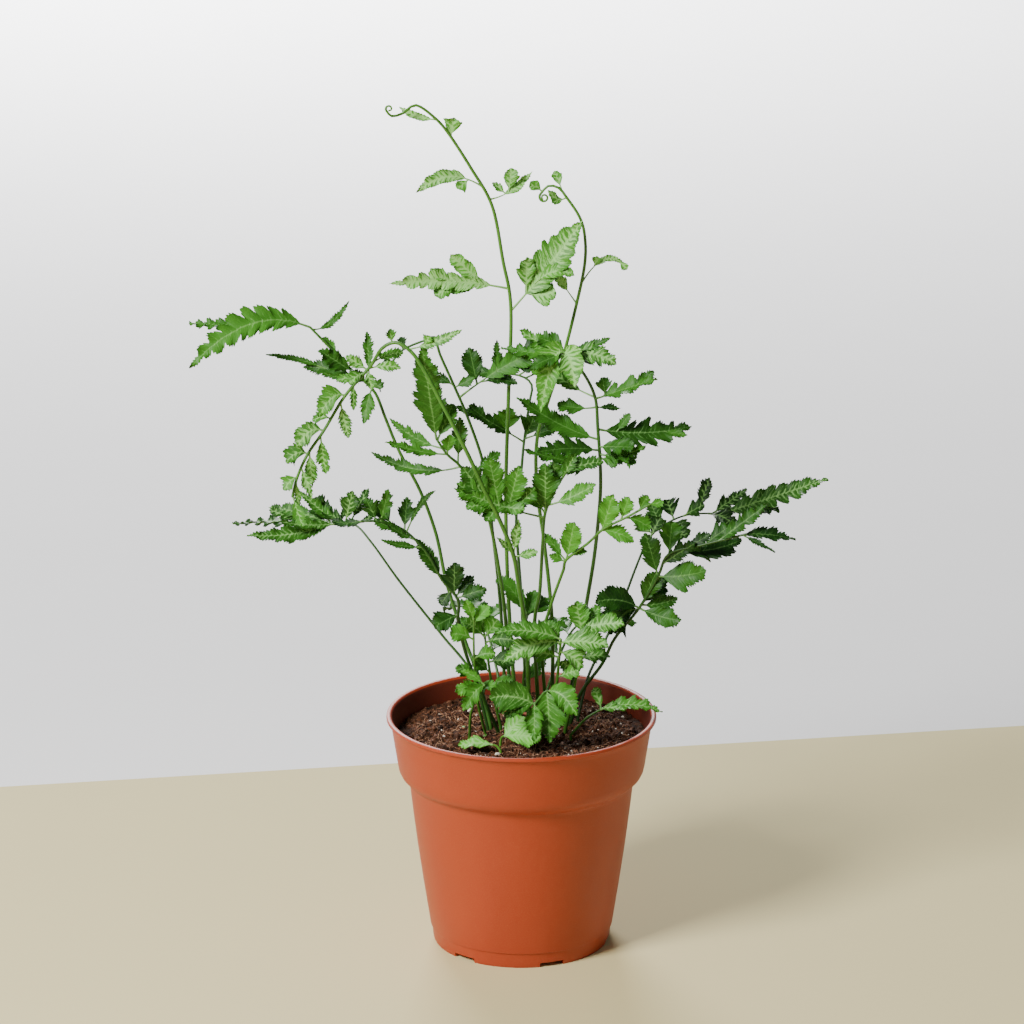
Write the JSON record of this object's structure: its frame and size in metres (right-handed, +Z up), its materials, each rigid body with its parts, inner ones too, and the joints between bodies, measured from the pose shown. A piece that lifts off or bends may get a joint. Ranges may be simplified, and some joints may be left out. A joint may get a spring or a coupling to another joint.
{
  "type": "potted brake fern",
  "caption": "Fern with upright and arching fronds of toothed, silver-veined leaflets, growing from dark soil in a round terracotta-coloured plastic nursery pot",
  "frame": {"origin": "the middle of the pot's flat foot, on the plane that it stands on", "axes": "+Z up along the pot's axis, -Y the side seen in the picture, +X to the picture's right"},
  "size_m": [0.2469, 0.1137, 0.3313],
  "materials": {
    "terracotta_plastic": "satin",
    "soil": "matte",
    "fern_green": "satin"
  },
  "bodies": {
    "root": {"pot": "terracotta_plastic", "soil": "soil", "frond_tall_left": "fern_green", "frond_tall_right": "fern_green", "frond_left_high": "fern_green", "frond_arch": "fern_green", "frond_kinked": "fern_green", "frond_centre_left": "fern_green", "frond_centre": "fern_green", "frond_right_high": "fern_green", "frond_centre_front": "fern_green", "frond_light_right": "fern_green", "frond_right_far": "fern_green", "frond_right_low": "fern_green", "frond_left_far": "fern_green", "frond_left_low": "fern_green", "frond_low_young": "fern_green", "frond_low_left": "fern_green", "frond_low_back": "fern_green", "frond_back_right": "fern_green", "frond_back_left": "fern_green", "frond_low_front": "fern_green", "frond_low_right": "fern_green", "frond_front": "fern_green", "sprout_pale": "fern_green", "sprout_small": "fern_green", "sprout_rim": "fern_green", "sprout_left": "fern_green"}
  },
  "joints": []
}
